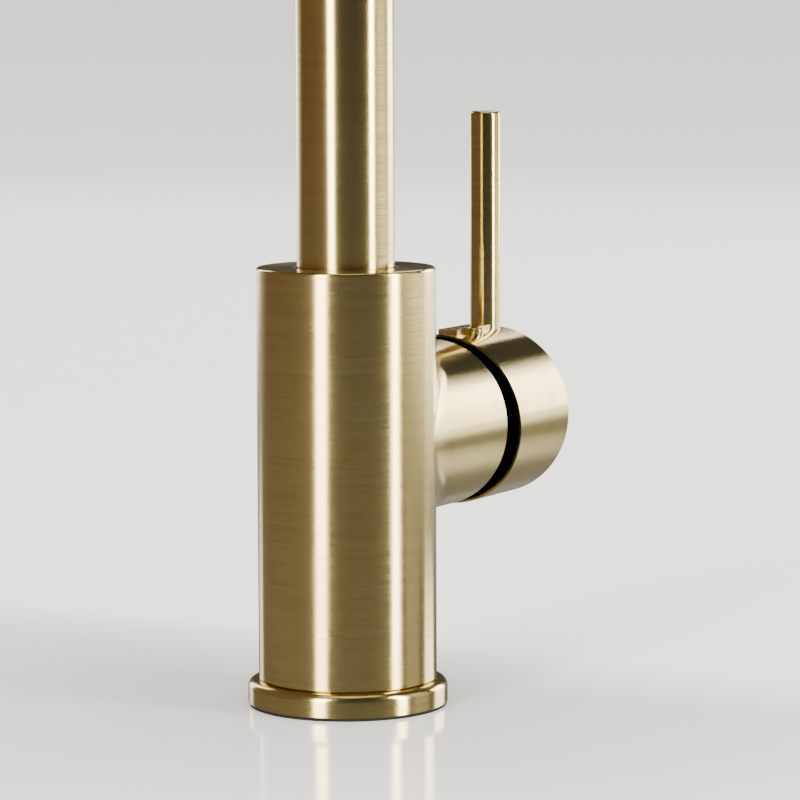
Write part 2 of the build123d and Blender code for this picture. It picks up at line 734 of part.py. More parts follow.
def mode_rocker():
    low, high = ROCKER_Z - ROCKER_H / 2, ROCKER_Z + ROCKER_H / 2
    plate = tube(SPRAY_R + ROCKER_PROUD, SPRAY_R - ROCKER_DEPTH, low, high)
    window = Pos(0, -SPRAY_R, ROCKER_Z) * Box(ROCKER_W, 10, ROCKER_H)
    window = fillet(window.edges().filter_by(Axis.Y), ROCKER_CORNER_R)
    rocker = (plate & window) + Pos(0, -CORE_R - LUG_OUT, ROCKER_Z) * Box(*LUG_SIZE)
    return at_spray(rocker - rocker_axle(ROCKER_PIN_R + PIN_RUN, ROCKER_HOLE_HALF))


def rocker_pin():
    return at_spray(rocker_axle(ROCKER_PIN_R, ROCKER_PIN_HALF))


def nozzle_spots():
    """Centres of the spray holes: two rings about the aerator."""
    spots = []
    for count, reach in NOZZLE_RINGS:
        for index in range(count):
            angle = 2 * math.pi * index / count
            spots.append((reach * math.cos(angle), reach * math.sin(angle)))
    return spots


def nozzle_plate():
    outer_r = SPRAY_R - SHELL_WALL - 0.1
    top = SPRAY_LOW_Z + FACE_RING_H
    plate = tube(outer_r, AERATOR_R + 0.05, SPRAY_LOW_Z + NOZZLE_PLATE_LOW, top)
    plate += tube(outer_r, CORE_FOOT_R + 0.2, top, CORE_LOW_Z)
    for x, y in nozzle_spots():
        plate -= Pos(x, y, 0) * tube(NOZZLE_R, 0, SPRAY_LOW_Z, top + 1)
    return at_spray(plate)


def nozzle_tips():
    tips = []
    for x, y in nozzle_spots():
        tip = tube(NOZZLE_R, NOZZLE_BORE_R, SPRAY_LOW_Z + 0.3, SPRAY_LOW_Z + 4.5)
        tips.append(at_spray(Pos(x, y, 0) * tip).solid())
    return Compound(children=tips)


def aerator():
    insert = tube(AERATOR_R, AERATOR_BORE_R, SPRAY_LOW_Z + 0.6, SPRAY_LOW_Z + AERATOR_TOP)
    for index in range(AERATOR_BARS):
        offset = AERATOR_PITCH * (index - (AERATOR_BARS - 1) / 2)
        reach = 2 * math.sqrt((AERATOR_BORE_R + 0.2) ** 2 - offset ** 2)
        for turn in (0, 90):
            bar = Pos(0, offset, SPRAY_LOW_Z + 2.0) * Box(reach, AERATOR_BAR[0], AERATOR_BAR[1])
            insert += Rot(0, 0, turn) * bar
    return at_spray(insert)


def face_ring():
    outer_r = SPRAY_R - 0.1
    ring = tube(outer_r, SPRAY_R - SHELL_WALL, SPRAY_LOW_Z, SPRAY_LOW_Z + FACE_RING_H)
    return at_spray(fillet(edges_at(ring, SPRAY_LOW_Z, outer_r), FACE_EDGE_R))


PIECES = [
    base_gasket, base_flange, threaded_shank, deck_seal_washer, deck_steel_washer, mounting_nut, nut_screws,
    hot_inlet_tail, cold_inlet_tail, outlet_tail, valve_body, spout_bush_upper, spout_bush_lower, spout_o_rings,
    spout_stop_screw, cartridge_housing, cartridge_seals, fixed_disc, moving_disc, disc_carrier, cartridge_turner,
    cartridge_stem, stem_pin, retaining_nut, trim_ring, handle_cap, lever_rod, handle_grub_screw, index_plug,
    spout_tube, spout_foot, spout_end_guide, dock_magnet, spray_hose_riser, hose_lower_end, spray_hose_lead,
    spray_shell, dock_steel_ring, spray_hose_nut, filter_washer, spray_core, check_valve, mode_rocker, rocker_pin,
    nozzle_plate, nozzle_tips, aerator, face_ring,
]

for make_piece in PIECES:
    export_step(make_piece(), "parts/" + make_piece.__name__ + ".step")
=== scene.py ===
import json
import logging
import math
from dataclasses import dataclass
from enum import Enum
from typing import Sequence

import bmesh
import bpy
import numpy as np
from mathutils import Matrix, Vector


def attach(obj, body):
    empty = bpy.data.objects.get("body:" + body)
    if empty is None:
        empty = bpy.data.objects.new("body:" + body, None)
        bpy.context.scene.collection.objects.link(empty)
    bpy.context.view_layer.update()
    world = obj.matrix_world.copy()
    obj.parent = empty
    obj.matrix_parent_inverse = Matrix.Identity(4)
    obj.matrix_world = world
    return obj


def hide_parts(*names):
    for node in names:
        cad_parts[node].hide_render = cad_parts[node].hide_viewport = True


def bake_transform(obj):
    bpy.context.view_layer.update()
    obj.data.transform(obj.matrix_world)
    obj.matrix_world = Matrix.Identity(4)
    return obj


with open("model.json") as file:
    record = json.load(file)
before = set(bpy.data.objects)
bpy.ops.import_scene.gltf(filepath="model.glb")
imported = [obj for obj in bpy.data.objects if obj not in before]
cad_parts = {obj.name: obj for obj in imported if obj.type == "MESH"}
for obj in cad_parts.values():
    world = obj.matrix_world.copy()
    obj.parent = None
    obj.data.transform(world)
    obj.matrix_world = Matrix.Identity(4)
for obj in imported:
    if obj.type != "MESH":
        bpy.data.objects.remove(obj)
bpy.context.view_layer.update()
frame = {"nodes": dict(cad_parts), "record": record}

MM = 0.001
LOG = logging.getLogger("kitchen_mixer")

LEVER_HEIGHT = 71.2 * MM
REACH = 200.0 * MM
ARCH_FOOT = 318.0
SMOOTH_ANGLE = 28.0

Triple = tuple[float, float, float]
Span = tuple[float, float]
Socket = bpy.types.NodeSocket
Value = Socket | float | Triple


# --------------------------------------------------------------------------- node helpers


class Blend(Enum):
    """What a Mix node mixes, with the numbers of its first value's input and of its output."""

    VALUE = ("FLOAT", 2, 0)
    VECTOR = ("VECTOR", 4, 1)
    COLOUR = ("RGBA", 6, 2)


class Nodes:
    """A small writer for the shader nodes of a material or a world."""

    def __init__(self, owner: bpy.types.Material | bpy.types.World) -> None:
        """Take the owner's node tree.

        Args:
            owner: the material or world that is written.
        """
        owner.use_nodes = True
        self.tree = owner.node_tree

    def add(self, kind: str, **values: str) -> bpy.types.Node:
        """Add a node and set its properties.

        Args:
            kind: node type name, without the ShaderNode prefix.
            values: the node's properties.

        Returns:
            The new node.
        """
        node = self.tree.nodes.new("ShaderNode" + kind)
        for key, value in values.items():
            setattr(node, key, value)
        return node

    def feed(self, target: Socket, value: Value) -> None:
        """Link a socket to an input, or set the input to a number, a vector or a colour.

        Args:
            target: the input.
            value: a socket, a number or three numbers.
        """
        if isinstance(value, bpy.types.NodeSocket):
            self.tree.links.new(value, target)
        elif target.type == "RGBA":
            target.default_value = (*value, 1.0)
        else:
            target.default_value = value

    def place(self) -> Socket:
        """Coordinates on the piece, in metres."""
        return self.add("TexCoord").outputs["Object"]

    def wrap(self) -> Socket:
        """Coordinates over a tube's unrolled surface, in metres: round it, and along it."""
        return self.add("UVMap", uv_map="wrap").outputs["UV"]

    def split(self, place: Socket) -> list[Socket]:
        """Separate a vector into its three numbers."""
        node = self.add("SeparateXYZ")
        self.feed(node.inputs[0], place)
        return list(node.outputs)

    def math(self, operation: str, first: Value, second: Value = 0.0) -> Socket:
        """Add a Math node.

        Args:
            operation: the node's operation.
            first: a socket or a number.
            second: a socket or a number.

        Returns:
            The result.
        """
        node = self.add("Math", operation=operation)
        self.feed(node.inputs[0], first)
        self.feed(node.inputs[1], second)
        return node.outputs[0]

    def vector(self, operation: str, first: Value, second: Value = (0.0, 0.0, 0.0)) -> Socket:
        """Add a Vector Math node.

        Args:
            operation: the node's operation.
            first: a socket or three numbers.
            second: a socket or three numbers.

        Returns:
            The vector result, or the number for a length or a dot product.
        """
        node = self.add("VectorMath", operation=operation)
        self.feed(node.inputs[0], first)
        self.feed(node.inputs[1], second)
        return node.outputs["Value" if operation in ("LENGTH", "DOT_PRODUCT") else "Vector"]

    def away(self, place: Socket, across: Triple = (1.0, 1.0, 0.0)) -> Socket:
        """Distance from an axis through the origin.

        Args:
            place: coordinates.
            across: 1 on the axes that count, and 0 along the axis itself.

        Returns:
            The distance in metres.
        """
        return self.vector("LENGTH", self.vector("MULTIPLY", place, across))

    def noise(self, place: Socket, scale: Triple, detail: float) -> Socket:
        """Add a noise pattern whose lumps are 1/scale metres long on each axis.

        Args:
            place: coordinates that the pattern is read at.
            scale: lumps per metre along X, Y and Z.
            detail: octaves of finer noise.

        Returns:
            The pattern, from 0 to 1.
        """
        stretch = self.add("Mapping")
        self.feed(stretch.inputs["Scale"], scale)
        self.feed(stretch.inputs["Vector"], place)
        pattern = self.add("TexNoise")
        self.feed(pattern.inputs["Scale"], 1.0)
        self.feed(pattern.inputs["Detail"], detail)
        self.feed(pattern.inputs["Vector"], stretch.outputs["Vector"])
        return pattern.outputs["Fac"]

    def ramp(self, source: Socket, span: Span, result: Span = (0.0, 1.0)) -> Socket:
        """Map a value linearly from one span to another, held at both ends.

        Args:
            source: the value to map.
            span: the values that give the two results.
            result: the two results.

        Returns:
            The mapped value.
        """
        node = self.add("MapRange")
        for target, value in zip(node.inputs, (source, *span, *result)):
            self.feed(target, value)
        return node.outputs[0]

    def mix(self, kind: Blend, amount: Socket, first: Value, second: Value) -> Socket:
        """Mix two values, vectors or colours.

        Args:
            kind: what is mixed.
            amount: share of the second one.
            first: a socket, or what it would carry.
            second: a socket, or what it would carry.

        Returns:
            The mixture.
        """
        data_type, start, result = kind.value
        node = self.add("Mix", data_type=data_type)
        self.feed(node.inputs["Factor"], amount)
        self.feed(node.inputs[start], first)
        self.feed(node.inputs[start + 1], second)
        return node.outputs[result]

    def mix_shader(self, amount: Socket, first: Socket, second: Socket) -> Socket:
        """Mix two shaders.

        Args:
            amount: share of the second one.
            first: a shader's output.
            second: a shader's output.

        Returns:
            The mixed shader's output.
        """
        node = self.add("MixShader")
        for target, value in zip(node.inputs, (amount, first, second)):
            self.feed(target, value)
        return node.outputs[0]


class SurfaceNodes(Nodes):
    """The nodes of a new surface material, with its main shader."""

    def __init__(self, name: str) -> None:
        """Start the material.

        Args:
            name: name of the material.
        """
        self.material = bpy.data.materials.new(name)
        super().__init__(self.material)
        self.shader = self.tree.nodes["Principled BSDF"]

    def dress(self, **values: Value) -> None:
        """Set or link the shader's inputs.

        Args:
            values: input names, with _ for each space, and what they get.
        """
        for name, value in values.items():
            self.feed(self.shader.inputs[name.replace("_", " ")], value)

    def bump(self, height: Socket, strength: float, depth: float) -> None:
        """Give the shader a bump from a height pattern.

        Args:
            height: the pattern.
            strength: share of the bump that is applied.
            depth: height of the pattern in metres.
        """
        node = self.add("Bump")
        self.feed(node.inputs["Strength"], strength)
        self.feed(node.inputs["Distance"], depth)
        self.feed(node.inputs["Height"], height)
        self.dress(Normal=node.outputs["Normal"])


# --------------------------------------------------------------------------- kinds of finish


@dataclass(frozen=True)
class Axis:
    """A line that the polishing belt went round."""

    direction: Triple = (0.0, 0.0, 1.0)
    point: Triple = (0.0, 0.0, 0.0)

    def across(self) -> Triple:
        """1 on the axes that lie across the line, and 0 along it."""
        return tuple(1.0 - abs(value) for value in self.direction)


UPRIGHT_AXIS = Axis()
LEVER_AXIS = Axis((1.0, 0.0, 0.0), (0.0, 0.0, LEVER_HEIGHT))
SPRAY_AXIS = Axis(point=(0.0, -REACH, 0.0))


class Grain(Enum):
    """Where the polishing belt's lines run on a piece."""

    ROUND_UPRIGHT = "round the upright axis"
    ROUND_LEVER = "round the lever's axis"
    ROUND_SPRAY = "round the spray head's axis"
    ROUND_TUBE = "round the bent tube"
    BODY_AND_BOSS = "round the upright axis, and round the lever's axis on the boss"


AXES = {Grain.ROUND_UPRIGHT: UPRIGHT_AXIS, Grain.ROUND_LEVER: LEVER_AXIS, Grain.ROUND_SPRAY: SPRAY_AXIS}


@dataclass(frozen=True)
class BrushedMetal:
    """Satin brass, brushed by a belt that went round the piece."""

    name: str
    grain: Grain
    colour: Triple = (0.735, 0.60, 0.255)
    deep: Triple = (0.52, 0.405, 0.145)
    roughness: float = 0.18
    spread: float = 0.11
    anisotropy: float = 0.6
    line_depth: float = 0.02 * MM
    line_pitch: float = 0.3 * MM
    line_length: float = 22.0 * MM
    line_strength: float = 0.55
    line_tone: Span = (0.0, 0.75)
    line_detail: float = 4.0
    coarse_detail: float = 2.0
    coarse_stretch: float = 0.22
    coarse_share: float = 0.28
    coarse_height: float = 0.5
    cloud_scale: float = 38.0
    cloud_detail: float = 3.0
    cloud_tone: Span = (0.0, 0.2)
    cloud_gloss: Span = (0.0, 0.035)
    end_spread: float = 2.0
    boss_blend: Span = (24.4 * MM, 27.5 * MM)

    def _lines(self, nodes: Nodes, place: Socket, scale: Triple) -> tuple[Socket, Socket]:
        """Write the brush lines.

        Args:
            nodes: the material being written.
            place: coordinates that the lines are read at.
            scale: lines per metre on each axis.

        Returns:
            The fine lines and the coarse ones, each from 0 to 1.
        """
        coarse_scale = tuple(value * self.coarse_stretch for value in scale)
        return (nodes.noise(place, scale, self.line_detail),
                nodes.noise(place, coarse_scale, self.coarse_detail))

    def _round(self, nodes: Nodes, axis: Axis) -> tuple[Socket, Socket, Socket]:
        """Write the lines that run round an axis, and the direction across them.

        The direction is axis + end_spread * (place - point, without its share along the axis). The shader
        keeps its share in the surface, so it runs along the axis on the sides and outwards on flat ends.

        Args:
            nodes: the material being written.
            axis: what the lines run round.

        Returns:
            The fine lines, the coarse lines and the direction in world space.
        """
        pitch, length = 1.0 / self.line_pitch, 1.0 / self.line_length
        scale = tuple(pitch if value else length for value in axis.direction)
        outward = nodes.vector("SUBTRACT", nodes.place(), axis.point)
        outward = nodes.vector("MULTIPLY", outward, axis.across())
        outward = nodes.vector("MULTIPLY", outward, (self.end_spread,) * 3)
        turn = nodes.add("VectorTransform", vector_type="VECTOR", convert_from="OBJECT", convert_to="WORLD")
        nodes.feed(turn.inputs[0], nodes.vector("ADD", outward, axis.direction))
        return *self._lines(nodes, nodes.place(), scale), turn.outputs[0]

    def _brush(self, nodes: SurfaceNodes) -> tuple[Socket, Socket]:
        """Write the lines of the piece's grain, and turn the shader's streaks across them.

        Args:
            nodes: the material being written.

        Returns:
            The fine lines and the coarse ones.
        """
        if self.grain is Grain.ROUND_TUBE:
            tangent = nodes.add("Tangent", direction_type="UV_MAP", uv_map="wrap").outputs[0]
            nodes.dress(Anisotropic_Rotation=0.25)
            scale = (1.0 / self.line_length, 1.0 / self.line_pitch, 1.0)
            fine, coarse = self._lines(nodes, nodes.wrap(), scale)
        elif self.grain is Grain.BODY_AND_BOSS:
            on_boss = nodes.ramp(nodes.away(nodes.place()), self.boss_blend)
            kinds = (Blend.VALUE, Blend.VALUE, Blend.VECTOR)
            pairs = zip(kinds, self._round(nodes, UPRIGHT_AXIS), self._round(nodes, LEVER_AXIS))
            fine, coarse, tangent = (nodes.mix(kind, on_boss, wall, boss) for kind, wall, boss in pairs)
        else:
            fine, coarse, tangent = self._round(nodes, AXES[self.grain])
        nodes.dress(Tangent=tangent)
        return fine, coarse

    def _paint_shade(self, nodes: Nodes, brass: Socket) -> Socket:
        """Paint shade into the brass's colour where a kind of brushed piece asks for it; a plain one keeps
        it.
        """
        return brass

    def material(self) -> bpy.types.Material:
        """Write the material.

        Returns:
            The brushed metal.
        """
        nodes = SurfaceNodes(self.name)
        fine, coarse = self._brush(nodes)
        cloud = nodes.noise(nodes.place(), (self.cloud_scale,) * 3, self.cloud_detail)
        tone = nodes.math("ADD", nodes.math("MULTIPLY", fine, 1.0 - self.coarse_share),
                          nodes.math("MULTIPLY", coarse, self.coarse_share))
        tone = nodes.math("ADD", nodes.ramp(tone, (0.36, 0.64), self.line_tone),
                          nodes.ramp(cloud, (0.35, 0.7), self.cloud_tone))
        gloss = (self.roughness - self.spread / 2, self.roughness + self.spread / 2)
        rough = nodes.math("ADD", nodes.ramp(fine, (0.3, 0.7), gloss),
                           nodes.ramp(cloud, (0.4, 0.75), self.cloud_gloss))
        # painted shade is mixed in here for pieces that ask for it, such as the cap's bore
        brass = self._paint_shade(nodes, nodes.mix(Blend.COLOUR, tone, self.colour, self.deep))
        nodes.dress(Base_Color=brass, Roughness=rough, Metallic=1.0, Anisotropic=self.anisotropy)
        height = nodes.math("ADD", fine, nodes.math("MULTIPLY", coarse, self.coarse_height))
        nodes.bump(height, self.line_strength, self.line_depth)
        return nodes.material


@dataclass(frozen=True)
class PaintedShadeInsideMetal(BrushedMetal):
    """Brushed brass of a cap, with painted shade: its hollow bore is coloured near black where shade falls.
    """

    # painted shade: near-black colour of the bore's inside, and the spans where it begins
    inside: Triple = (0.008, 0.007, 0.005)
    bore: Span = (23.2 * MM, 23.5 * MM)
    floor: Span = (70.0 * MM, 71.0 * MM)

    def _paint_shade(self, nodes: Nodes, brass: Socket) -> Socket:
        """Paint shade: darken the brass to near black within the bore, as far as the bore's floor.

        Args:
            nodes: the material being written.
            brass: colour of the brushed outside.

        Returns:
            The colour all over the cap.
        """
        place = nodes.place()
        away = nodes.away(nodes.vector("SUBTRACT", place, LEVER_AXIS.point), LEVER_AXIS.across())
        within = nodes.ramp(away, self.bore, (1.0, 0.0))
        before = nodes.ramp(nodes.split(place)[0], self.floor, (1.0, 0.0))
        # mix the painted shade over the bore, as far as its floor
        return nodes.mix(Blend.COLOUR, nodes.math("MULTIPLY", within, before), brass, self.inside)


@dataclass(frozen=True)
class Surface:
    """A moulded, cast, drawn or machined finish with mottled colour, gloss and a fine relief."""

    name: str
    colour: Triple
    deep: Triple
    metallic: float = 0.0
    roughness: float = 0.45
    spread: float = 0.12
    grain: Triple = (900.0, 900.0, 900.0)
    grain_detail: float = 4.0
    cloud_scale: float = 60.0
    cloud_detail: float = 3.0
    relief: float = 0.02 * MM
    strength: float = 0.3
    specular: float = 0.5

    def material(self) -> bpy.types.Material:
        """Write the material.

        Returns:
            The finish.
        """
        nodes = SurfaceNodes(self.name)
        fine = nodes.noise(nodes.place(), self.grain, self.grain_detail)
        cloud = nodes.noise(nodes.place(), (self.cloud_scale,) * 3, self.cloud_detail)
        tone = nodes.math("ADD", nodes.ramp(fine, (0.3, 0.7), (0.0, 0.5)),
                          nodes.ramp(cloud, (0.35, 0.7), (0.0, 0.5)))
        gloss = (self.roughness - self.spread / 2, self.roughness + self.spread / 2)
        nodes.dress(Base_Color=nodes.mix(Blend.COLOUR, tone, self.colour, self.deep),
                    Roughness=nodes.ramp(fine, (0.3, 0.7), gloss),
                    Metallic=self.metallic, Specular_IOR_Level=self.specular)
        nodes.bump(fine, self.strength, self.relief)
        return nodes.material


@dataclass(frozen=True)
class BraidedHose:
    """Nylon braid: strands cross at the hose's own pitch, read from the wrap coordinates."""

    name: str = "braided_hose"
    light: Triple = (0.20, 0.20, 0.205)
    dark: Triple = (0.02, 0.02, 0.022)
    strand: float = 1.2 * MM
    roughness: float = 0.5
    specular: float = 0.3
    strength: float = 0.8
    relief: float = 0.3 * MM

    def material(self) -> bpy.types.Material:
        """Write the material.

        The weave is the higher of |sin(pi (v + u) / strand)| and |sin(pi (v - u) / strand)|, where u runs
        round the hose and v along it.

        Returns:
            The braid.
        """
        nodes = SurfaceNodes(self.name)
        around, along, _ = nodes.split(nodes.wrap())
        helices = []
        for sign in (1.0, -1.0):
            phase = nodes.math("ADD", along, nodes.math("MULTIPLY", around, sign))
            wave = nodes.math("SINE", nodes.math("MULTIPLY", phase, math.pi / self.strand))
            helices.append(nodes.math("ABSOLUTE", wave))
        weave = nodes.math("MAXIMUM", *helices)
        nodes.dress(Base_Color=nodes.mix(Blend.COLOUR, nodes.ramp(weave, (0.55, 1.0)), self.dark, self.light),
                    Roughness=self.roughness, Specular_IOR_Level=self.specular)
        nodes.bump(weave, self.strength, self.relief)
        return nodes.material


# --------------------------------------------------------------------------- mesh helpers


def link(name: str, mesh: bpy.types.Mesh) -> bpy.types.Object:
    """Put a mesh into the scene as an object at the origin."""
    piece = bpy.data.objects.new(name, mesh)
    bpy.context.scene.collection.objects.link(piece)
    return piece


def lattice(name: str, points: np.ndarray, wrap: np.ndarray | None = None,
            closed_rows: bool = False) -> bpy.types.Object:
    """Make a surface from a grid of points, closed round its columns.

    Face (i, j) joins points (i, j), (i, j+1), (i+1, j+1) and (i+1, j), where j runs round the piece
    and wraps to 0, and i runs along it, and wraps too when closed_rows is set.

    Args:
        name: name of the piece.
        points: array of rows x columns x 3, in metres.
        wrap: array of (rows + 1) x (columns + 1) x 2 coordinates in metres over the unrolled surface.
        closed_rows: join the last row to the first.

    Returns:
        The piece, smooth shaded.
    """
    rows, columns, _ = points.shape
    spans = rows if closed_rows else rows - 1
    i, j = np.meshgrid(np.arange(spans), np.arange(columns), indexing="ij")
    i2, j2 = (i + 1) % rows, (j + 1) % columns
    faces = np.stack([i * columns + j, i * columns + j2, i2 * columns + j2, i2 * columns + j], -1)
    faces = faces.reshape(-1, 4)
    mesh = bpy.data.meshes.new(name)
    mesh.vertices.add(rows * columns)
    mesh.vertices.foreach_set("co", points.reshape(-1).astype(np.float32))
    mesh.loops.add(faces.size)
    mesh.loops.foreach_set("vertex_index", faces.reshape(-1).astype(np.int32))
    mesh.polygons.add(len(faces))
    mesh.polygons.foreach_set("loop_start", np.arange(0, faces.size, 4, dtype=np.int32))
    mesh.polygons.foreach_set("use_smooth", np.ones(len(faces), bool))
    mesh.update(calc_edges=True)
    if wrap is not None:
        corners = np.stack([wrap[i, j], wrap[i, j + 1], wrap[i + 1, j + 1], wrap[i + 1, j]], 2).reshape(-1)
        layer = mesh.uv_layers.new(name="wrap")
        layer.data.foreach_set("uv", corners.astype(np.float32))
    mesh.validate()
    return link(name, mesh)


def join_points(mesh: bpy.types.Mesh, distance: float) -> None:
    """Join a mesh's points that lie within a distance in metres of each other, and shade it smooth."""
    work = bmesh.new()
    work.from_mesh(mesh)
    bmesh.ops.remove_doubles(work, verts=work.verts, dist=distance)
    for face in work.faces:
        face.smooth = True
    work.to_mesh(mesh)
    work.free()


def turned(name: str, profile: Sequence[Span], centre: Vector, steps: int,
           closed: bool = True) -> bpy.types.Object:
    """Turn a profile of (radius, height) round an upright axis, as on a lathe.

    Point (i, j) is centre + (radius_i cos a_j, radius_i sin a_j, height_i), where a_j = 2 pi j / steps.

    Args:
        name: name of the piece.
        profile: radii and heights in millimetres, in order round the section.
        centre: a point on the axis, in metres.
        steps: number of columns.
        closed: the section closes on itself; otherwise its ends lie on the axis and become poles.

    Returns:
        The piece.
    """
    section = np.array(profile, float) * MM
    angle = np.linspace(0, 2 * math.pi, steps, endpoint=False)
    radius, height = section[:, :1], section[:, 1:] + np.zeros((1, steps))
    points = np.stack([radius * np.cos(angle), radius * np.sin(angle), height], -1)
    piece = lattice(name, points + np.array(centre), closed_rows=closed)
    if not closed:
        join_points(piece.data, 1e-8)
    return piece


def arc_points(centre: Span, radius: float, count: int) -> list[Span]:
    """Points on the outer upper quarter of a profile's rounded edge, from its side to its top.

    Args:
        centre: (radius, height) of the arc's centre in millimetres.
        radius: the arc's radius in millimetres.
        count: number of points.

    Returns:
        A list of (radius, height).
    """
    angles = np.linspace(0, math.pi / 2, count)
    return [(centre[0] + radius * math.cos(a), centre[1] + radius * math.sin(a)) for a in angles]


def sharpen(piece: bpy.types.Object, angle: float) -> None:
    """Shade a piece smooth except at edges sharper than an angle in degrees."""
    piece.data.set_sharp_from_angle(angle=math.radians(angle))


def even_normals(mesh: bpy.types.Mesh, angle: float) -> None:
    """Give each face corner the area-weighted mean normal of the faces round it that lie within an angle.

    Broad faces outweigh the narrow ones of a rounded edge, so cylinders stay straight up to the edge.

    Args:
        mesh: the mesh, with its corners joined.
        angle: largest angle in degrees between faces that are shaded as one.
    """
    corners, faces = len(mesh.loops), len(mesh.polygons)
    vertex = np.empty(corners, np.int32)
    mesh.loops.foreach_get("vertex_index", vertex)
    totals, areas = np.empty(faces, np.int32), np.empty(faces)
    normals = np.empty(faces * 3)
    mesh.polygons.foreach_get("loop_total", totals)
    mesh.polygons.foreach_get("area", areas)
    mesh.polygons.foreach_get("normal", normals)
    owner = np.repeat(np.arange(faces), totals)
    normals = normals.reshape(-1, 3)[owner]
    weight = areas[owner]
    order = np.argsort(vertex, kind="stable")
    count = np.bincount(vertex, minlength=len(mesh.vertices))
    start = np.concatenate([[0], np.cumsum(count)[:-1]])
    size = count[vertex]
    first = np.repeat(np.arange(corners), size)
    step = np.arange(len(first)) - np.repeat(np.cumsum(size) - size, size)
    second = order[start[vertex[first]] + step]
    near = (normals[first] * normals[second]).sum(1) > math.cos(math.radians(angle))
    share = normals[second] * (weight[second] * near)[:, None]
    mean = np.stack([np.bincount(first, share[:, axis], corners) for axis in range(3)], -1)
    mean /= np.maximum(np.linalg.norm(mean, axis=1, keepdims=True), 1e-12)
    mesh.normals_split_custom_set(mean.tolist())


def merged_copy(node: str, name: str, angle: float = SMOOTH_ANGLE) -> bpy.types.Object:
    """Copy a CAD node as one joined mesh, smooth except at edges sharper than an angle.

    Args:
        node: name of the CAD node.
        name: name of the copy.
        angle: largest angle in degrees that is shaded smooth.

    Returns:
        The copy, which stands for the node.
    """
    mesh = frame["nodes"][node].data.copy()
    mesh.materials.clear()
    join_points(mesh, 1e-6)
    mesh.name = name
    even_normals(mesh, angle)
    return link(name, mesh)


def finish_piece(piece: bpy.types.Object, body: str, material: bpy.types.Material,
                 node: str) -> None:
    """Dress a piece, seat it on its body and let it stand for its CAD node.

    Args:
        piece: the object.
        body: name of the moving body.
        material: the finish.
        node: CAD node that it replaces.
    """
    piece.data.materials.clear()
    piece.data.materials.append(material)
    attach(piece, body)
    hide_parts(node)
    LOG.info("%s rides on %s, %d faces", piece.name, body, len(piece.data.polygons))


# --------------------------------------------------------------------------- the mixer's finishes


class Finishes:
    """Every finish of the mixer, written once."""

    def __init__(self) -> None:
        """Write the materials."""
        self.body = BrushedMetal("brushed_brass_body", Grain.BODY_AND_BOSS).material()
        self.upright = BrushedMetal("brushed_brass_upright", Grain.ROUND_UPRIGHT).material()
        # the cap's finish carries painted shade inside its bore
        self.cap = PaintedShadeInsideMetal("brushed_brass_cap", Grain.ROUND_LEVER).material()
        self.tube = BrushedMetal("brushed_brass_tube", Grain.ROUND_TUBE).material()
        self.spray = BrushedMetal("brushed_brass_spray", Grain.ROUND_SPRAY).material()
        self.rod = BrushedMetal("drawn_brass_rod", Grain.ROUND_UPRIGHT, roughness=0.16, spread=0.06,
                                anisotropy=0.4, line_depth=0.004 * MM).material()
        self.hose = BraidedHose().material()
        self._metals()
        self._plain()

    def _metals(self) -> None:
        """Write the polished, machined, plated and drawn metals."""
        self.polished = Surface("polished_brass", (0.76, 0.63, 0.31), (0.66, 0.53, 0.23), metallic=1.0,
                                roughness=0.12, spread=0.06, relief=0.004 * MM).material()
        self.raw = Surface("machined_brass", (0.66, 0.51, 0.22), (0.50, 0.37, 0.14), metallic=1.0,
                           roughness=0.3, grain=(120.0, 120.0, 2600.0)).material()
        self.steel = Surface("zinc_plated_steel", (0.62, 0.63, 0.65), (0.45, 0.46, 0.48), metallic=1.0,
                             roughness=0.3, spread=0.14, grain=(400.0, 400.0, 2200.0)).material()
        self.copper = Surface("drawn_copper", (0.78, 0.42, 0.27), (0.55, 0.26, 0.16), metallic=1.0,
                              roughness=0.28, grain=(500.0, 500.0, 60.0)).material()
        self.magnet = Surface("sintered_magnet", (0.12, 0.12, 0.125), (0.2, 0.2, 0.2), metallic=0.9,
                              roughness=0.5).material()

    def _plain(self) -> None:
        """Write the rubbers, plastics and ceramic."""
        self.rubber = Surface("black_rubber", (0.012, 0.012, 0.012), (0.02, 0.02, 0.02),
                              roughness=0.65, specular=0.1).material()
        self.nylon = Surface("black_nylon", (0.014, 0.014, 0.015), (0.024, 0.024, 0.025),
                             roughness=0.5, specular=0.14).material()
        self.acetal = Surface("white_acetal", (0.78, 0.77, 0.73), (0.66, 0.65, 0.6), roughness=0.4).material()
        self.ceramic = Surface("lapped_ceramic", (0.86, 0.84, 0.78), (0.78, 0.76, 0.7),
                               roughness=0.12, spread=0.05, relief=0.002 * MM).material()
        self.silicone = Surface("grey_silicone", (0.05, 0.05, 0.052), (0.08, 0.08, 0.08),
                                roughness=0.55, specular=0.2).material()


class Dresser:
    """Knows the slot of each CAD node and the finish of each slot."""

    def __init__(self, finishes: Finishes) -> None:
        """Pair each slot with its finish.

        Args:
            finishes: the mixer's finishes.
        """
        self.by_slot = {
            "brushed_brass": finishes.upright, "polished_brass": finishes.polished, "raw_brass": finishes.raw,
            "black_rubber": finishes.rubber, "nylon": finishes.nylon, "acetal": finishes.acetal,
            "ceramic": finishes.ceramic, "steel": finishes.steel, "copper": finishes.copper,
            "hose": finishes.nylon, "silicone": finishes.silicone, "magnet": finishes.magnet,
        }
        self.slots = {entry["node"]: entry["material_slot"] for entry in frame["record"]["subparts"]}

    def dress(self) -> None:
        """Give every CAD node the finish of its slot."""
        for name, piece in frame["nodes"].items():
            piece.data.materials.clear()
            piece.data.materials.append(self.by_slot[self.slots[name]])
            LOG.info("%s takes the %s finish", name, self.slots[name])


# --------------------------------------------------------------------------- the mixer's sub-assemblies


